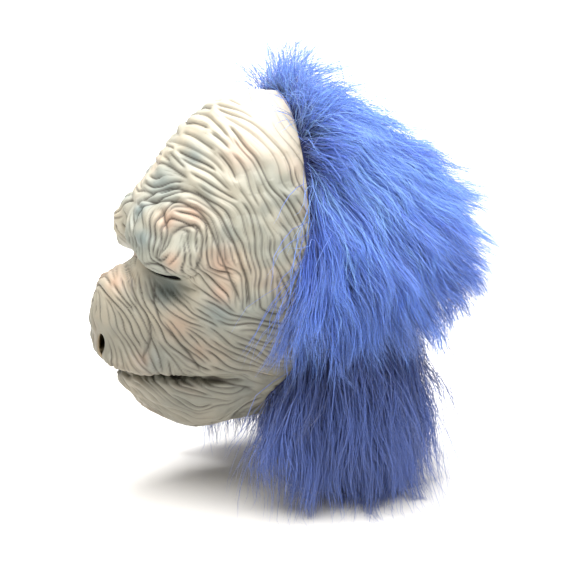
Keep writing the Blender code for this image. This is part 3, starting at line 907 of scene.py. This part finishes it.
def upper_fur(node, count, patch, material, backing_material):
    """A piece of the upper tier. patch is its first and last angle round the head and down it. The
    fur is combed back and down, stands up at the hairline and hangs forward over the cheek."""
    def make(name, amount, share):
        roots, normals = over_skull(*sample_patch(amount, *patch))
        y, z = roots[:, 1] - SHIFT_Y, roots[:, 2]
        crown = blend((z - 0.27) / 0.06)
        front = 1.0 - blend((y - HAIR_Y) / 0.030)
        cheek = (1.0 - blend((y - HAIR_Y) / 0.045)) * blend((0.285 - z) / 0.08)
        back = blend((y - 0.05) / 0.06) * (1.0 - blend((0.235 - z) / 0.06))
        hem = blend((0.225 - z) / 0.04)
        comb = np.stack([0.25 * normals[:, 0], 0.46 + 0.30 * crown - 1.12 * cheek + 0.20 * back,
                         -0.85 + 0.50 * crown + 0.20 * back], axis=-1)
        comb = unit(comb - 0.5 * normals * (comb * normals).sum(axis=-1, keepdims=True))
        tuft = (crown * front)[:, None]
        scatter = rng.normal(0.0, 0.38, (amount, 3)) * [1.0, 1.0, 0.3]
        comb = unit(comb * (1.0 - 0.9 * tuft) + tuft * (np.array([0.0, -0.20, 0.72]) + scatter))
        middle = crown * (1.0 - front) * (1.0 - blend((y - 0.07) / 0.05))
        lift = (0.42 + 0.50 * back + 0.20 * crown * front - 0.16 * middle) * (1.0 - 0.35 * cheek)
        lift = lift * (1.0 - 0.45 * hem)
        ragged = 0.55 * np.sin(y / 0.011 + 1.0) + 0.45 * np.sin(y / 0.0047 + z / 0.02)
        length = 0.086 + 0.014 * back - 0.030 * crown * front - 0.012 * hem + 0.012 * hem * ragged
        length = (length - 0.020 * hem * blend((y - 0.06) / 0.05)) * share
        weight = 0.15 - 0.08 * back + 0.03 * hem
        # painted light and shade: a little lighter high up, darker down towards the hem
        shade = 0.08 - 0.50 * blend((0.300 - z) / 0.10)
        return pile(name, roots, normals, comb, length, lift, weight, 34, material, shade)

    piles = in_two(node, count, make)
    first, last, low, high = patch
    rows, columns = BACKING_GRID
    around, polar = np.meshgrid(np.linspace(first, last, columns), np.linspace(low, high, rows))
    inner, normals = over_skull(around.ravel(), polar.ravel())
    outer = inner + normals * KNIT
    cloth = sheet_between(f"{node}_backing", inner, outer, BACKING_GRID, backing_material)
    finish_fur(node, piles, cloth)


def sheet_between(name, inner, outer, shape, material):
    """Closed thin solid between two grids of points."""
    rows, columns = shape
    index = np.arange(rows * columns).reshape(rows, columns)
    count = rows * columns
    low = np.stack([index[:-1, :-1], index[1:, :-1], index[1:, 1:], index[:-1, 1:]], axis=-1)
    low = low.reshape(-1, 4)
    loop = np.concatenate([index[0], index[1:, -1], index[-1, -2::-1], index[-2:0:-1, 0]])
    after = np.roll(loop, -1)
    rim = np.stack([loop, after, after + count, loop + count], axis=-1)
    faces = np.concatenate([low, low[:, ::-1] + count, rim])
    points = np.concatenate([inner.reshape(-1, 3), outer.reshape(-1, 3)])
    return outward(mesh_object(name, points, faces, material))


def outward(obj):
    """Turns the faces of a closed mesh outwards if its volume is negative."""
    bm = bmesh.new()
    bm.from_mesh(obj.data)
    if bm.calc_volume(signed=True) < 0.0:
        bmesh.ops.reverse_faces(bm, faces=bm.faces)
        bm.to_mesh(obj.data)
    bm.free()
    return obj


def surface_area(obj):
    return sum(face.area for face in obj.data.polygons)


def finish_fur(node, piles, cloth):
    """The fur's cloth replaces the CAD node, which is hidden."""
    stand_for(cloth, node)


def nape_place(side, slant, level):
    """Surface point for the lower tier: slant runs from its front edge to the parting at the back,
    level from its upper edge down to the neck."""
    first = math.radians(96) - math.radians(16) * blend(level / 0.35)
    around = first + (math.pi - 0.045 - first) * slant
    top = 0.93 + 0.03 * blend(slant / 0.4)
    down = top + (1.75 - top) * level
    return head_point(side * around, down, True), head_normal(side * around, down, True)


def nape_fur(node, side, count, material, backing_material):
    """The lower tier, rooted on the jaw line and the nape and hanging to the ground."""
    def make(name, amount, share):
        slant, level = rng.uniform(0.0, 1.0, amount), rng.uniform(0.0, 1.0, amount) ** 1.3
        roots, normals = nape_place(side, slant, level)
        roots = roots + normals * 0.0016
        y, z = roots[:, 1] - SHIFT_Y, roots[:, 2]
        front = 1.0 - blend((y - HAIR_Y + 0.02) / 0.050)
        comb = np.stack([0.16 * normals[:, 0], 0.02 - 0.42 * front, np.full(amount, -1.0)], axis=-1)
        rear = blend((y - 0.045) / 0.045)
        comb[:, 1] -= 0.22 * rear                     # combed forward a little, off the parting
        comb = unit(comb + 0.10 * rng.normal(0.0, 1.0, (amount, 3)))
        lowest = 0.022 * (1.0 - blend(y / 0.07)) + 0.002
        length = np.clip((z - lowest) * 1.12, 0.025, 0.150) * share
        lift = 0.20 - 0.06 * front - 0.10 * rear
        return pile(name, roots, normals, comb, length, lift, np.full(amount, 0.20), 40, material)

    rows, columns = BACKING_GRID
    places = nape_place(side, *np.meshgrid(np.linspace(0.0, 1.0, columns), np.linspace(0.0, 1.0, rows)))
    inner, outer = (places[0] + places[1] * height for height in (0.0008, 0.0018))
    cloth = sheet_between(f"{node}_backing", inner, outer, BACKING_GRID, backing_material)
    finish_fur(node, in_two(node, count, make), cloth)


# ---- pieces inside
def inner_piece(name, patch, depth_from, depth_to, material, crown=0.0, shape=(24, 30)):
    """A piece glued to the inner side of the latex. patch is its first and last angle round the head
    and its first and last level down it. crown rounds the piece off towards its edges."""
    first, last, low, high = patch
    rows, columns = shape
    around, down = np.meshgrid(np.linspace(first, last, columns), np.linspace(low, high, rows))
    across = np.abs(np.linspace(-1.0, 1.0, columns))[None, :]
    upright = np.abs(np.linspace(-1.0, 1.0, rows))[:, None]
    edge = np.maximum(across, upright)
    full = 1.0 - crown * blend((edge - 0.72) / 0.28)
    surface, normal = head_point(around, down), head_normal(around, down)
    outer = surface - normal * depth_from
    inner = surface - normal * (depth_from + (depth_to - depth_from) * full)[..., None]
    return sheet_between(name, outer.reshape(-1, 3), inner.reshape(-1, 3), shape, material)


def pieces_inside():
    near, thin = LATEX + PAD_GAP, 0.0008
    deep = near + PAD_THICK
    foam = foam_material()
    screen = cloth_material("black_mesh", (0.022, 0.022, 0.024), 0.0011)
    tape = cloth_material("cotton_tape", (0.70, 0.66, 0.57), 0.0009)
    crown_patch = (math.radians(125), math.radians(235), 0.10, 0.42)
    pads = {"forehead_pad": inner_piece("forehead_foam", (-0.42, 0.42, 0.40, 0.555), near + thin, deep,
                                        foam, 0.55),
            "crown_pad": inner_piece("crown_foam", crown_patch, near, deep, foam, 0.55)}
    for side, word in ((1.0, "left"), (-1.0, "right")):
        pads[f"cheek_pad_{word}"] = inner_piece(
            f"cheek_foam_{word}", (side * 1.25, side * 1.75, 0.66, 0.86), near + thin, deep, foam, 0.55)
        mesh = inner_piece(f"eye_mesh_{word}", (side * 0.17, side * 0.72, 0.585, 0.680),
                           near + 0.0022, near + 0.0030, screen)
        stand_for(mesh, f"eye_screen_{word}")
        declare_cloth(mesh)
        along_slit = (math.pi - side * 0.115, math.pi - side * 0.36, 1.40, 2.88)
        strip = inner_piece(f"slit_strip_{word}", along_slit, near, near + thin, tape)
        stand_for(strip, f"slit_tape_{word}")
        declare_cloth(strip)
    for node, pad in pads.items():
        stand_for(pad, node)
    hem = inner_piece("neck_hem_tape", (0.45 - math.pi, math.pi - 0.45, 2.90, 2.97), near + 0.0002,
                      near + 0.0010, tape, shape=(4, 90))
    stand_for(hem, "neck_hem")
    declare_cloth(hem, hem.dimensions[2])


def declare_cloth(obj, width=None):
    """Works out the width of a strip or patch of cloth and does nothing with it. The width, unless
    given, follows from the longest side.
    """
    narrowest = 0.0101
    area = 0.5 * surface_area(obj)
    width = width or area / max(obj.dimensions)
    max(narrowest, width)


# ---- stage, lights and camera
def stage():
    """White paper that runs along the floor and up behind the mask, and soft studio light."""
    turn = np.linspace(0.0, 0.5 * math.pi, 13)[1:-1]
    floor_end, bend, top = 2.6, 1.2, 4.0
    profile = [(-5.0, 0.0), (floor_end, 0.0)]
    profile += [(floor_end + bend * math.sin(t), bend * (1.0 - math.cos(t))) for t in turn]
    profile += [(floor_end + bend, bend), (floor_end + bend, top)]
    half = 5.0
    points = [(across, along, up) for along, up in profile for across in (-half, half)]
    faces = [(2 * i, 2 * i + 1, 2 * i + 3, 2 * i + 2) for i in range(len(profile) - 1)]
    sweep = bpy.data.meshes.new("paper_sweep")
    sweep.from_pydata(points, [], faces)
    sweep.shade_smooth()
    ground = add_object("paper_sweep", sweep)
    ground.rotation_euler = (0.0, 0.0, math.radians(72.0))
    paper = Nodes("paper")
    dull, bright = (0.90, 0.885, 0.865), (0.92, 0.905, 0.885)
    paper.colour(paper.mix(paper.ramp(paper.noise(3.0), 0.3, 0.7), dull, bright))
    paper.shader.inputs["Roughness"].default_value = 0.9
    sweep.materials.append(paper.material)

    world = bpy.data.worlds.new("studio")
    bpy.context.scene.world = world
    world.use_nodes = True
    background = world.node_tree.nodes["Background"]
    background.inputs["Color"].default_value = (1.0, 0.98, 0.95, 1.0)
    background.inputs["Strength"].default_value = 0.30

    def area_light(name, place, aim, size, power, colour):
        data = bpy.data.lights.new(name, "AREA")
        data.shape = "DISK"
        data.size, data.energy, data.color = size, power, colour
        lamp = add_object(name, data)
        lamp.location = place
        lamp.rotation_euler = (Vector(aim) - Vector(place)).to_track_quat("-Z", "Y").to_euler()

    area_light("key", (0.30, 0.00, 1.5), (0.0, 0.0, 0.15), 2.2, 62.0, (1.0, 0.99, 0.97))
    area_light("fill", (1.3, -1.3, 0.9), (0.0, 0.0, 0.2), 1.2, 1.6, (1.0, 0.96, 0.90))
    area_light("wall", (-0.9, 0.3, 2.6), (-3.4, 1.1, 1.0), 1.6, 190.0, (1.0, 1.0, 1.0))


def camera():
    azimuth, elevation, distance = math.radians(72), math.radians(12), 1.1
    back = Vector((math.sin(azimuth) * math.cos(elevation), -math.cos(azimuth) * math.cos(elevation),
                   math.sin(elevation)))
    right = Vector((math.cos(azimuth), math.sin(azimuth), 0.0))
    up = back.cross(right)
    target = Vector((0.0, 0.0041, 0.19)) - right * 0.0018 - up * 0.0193
    data = bpy.data.cameras.new("camera")
    data.sensor_width, data.lens = 36.0, 78.0
    eye = add_object("camera", data)
    eye.location = target + back * distance
    eye.rotation_euler = back.to_track_quat("Z", "Y").to_euler()
    bpy.context.scene.camera = eye
    bpy.context.scene.view_settings.view_transform = "Standard"


# ---- the whole scene
camera()
stage()
latex_skin()
pieces_inside()
blue = fur_material("blue_fur", (0.200, 0.380, 1.000), (0.090, 0.190, 0.740), (0.026, 0.052, 0.240))
# painted shade: a darker copy of the blue fur for the lower tier
painted_shade_blue = fur_material("painted_shade_blue_fur", (0.090, 0.145, 0.420), (0.042, 0.078, 0.270),
                         (0.016, 0.029, 0.105))
knit = cloth_material("knitted_backing", (0.012, 0.022, 0.120), 0.0015)
left, right = 0.5 * math.pi, 1.5 * math.pi
left_back, right_back = math.pi - BACK_HALF, math.pi + BACK_HALF
for node, count, patch in (
        ("crown_fur", 5200, (left, right, math.radians(2), CROWN_POLAR)),
        ("left_side_fur", 5000, (left, left_back, CROWN_POLAR, TIER_POLAR)),
        ("back_fur", 5200, (left_back, right_back, CROWN_POLAR, TIER_POLAR)),
        ("right_side_fur", 5000, (right_back, right, CROWN_POLAR, TIER_POLAR))):
    upper_fur(node, count, patch, blue, knit)
nape_fur("left_nape_fur", 1.0, 5200, painted_shade_blue, knit)
nape_fur("right_nape_fur", -1.0, 5200, painted_shade_blue, knit)
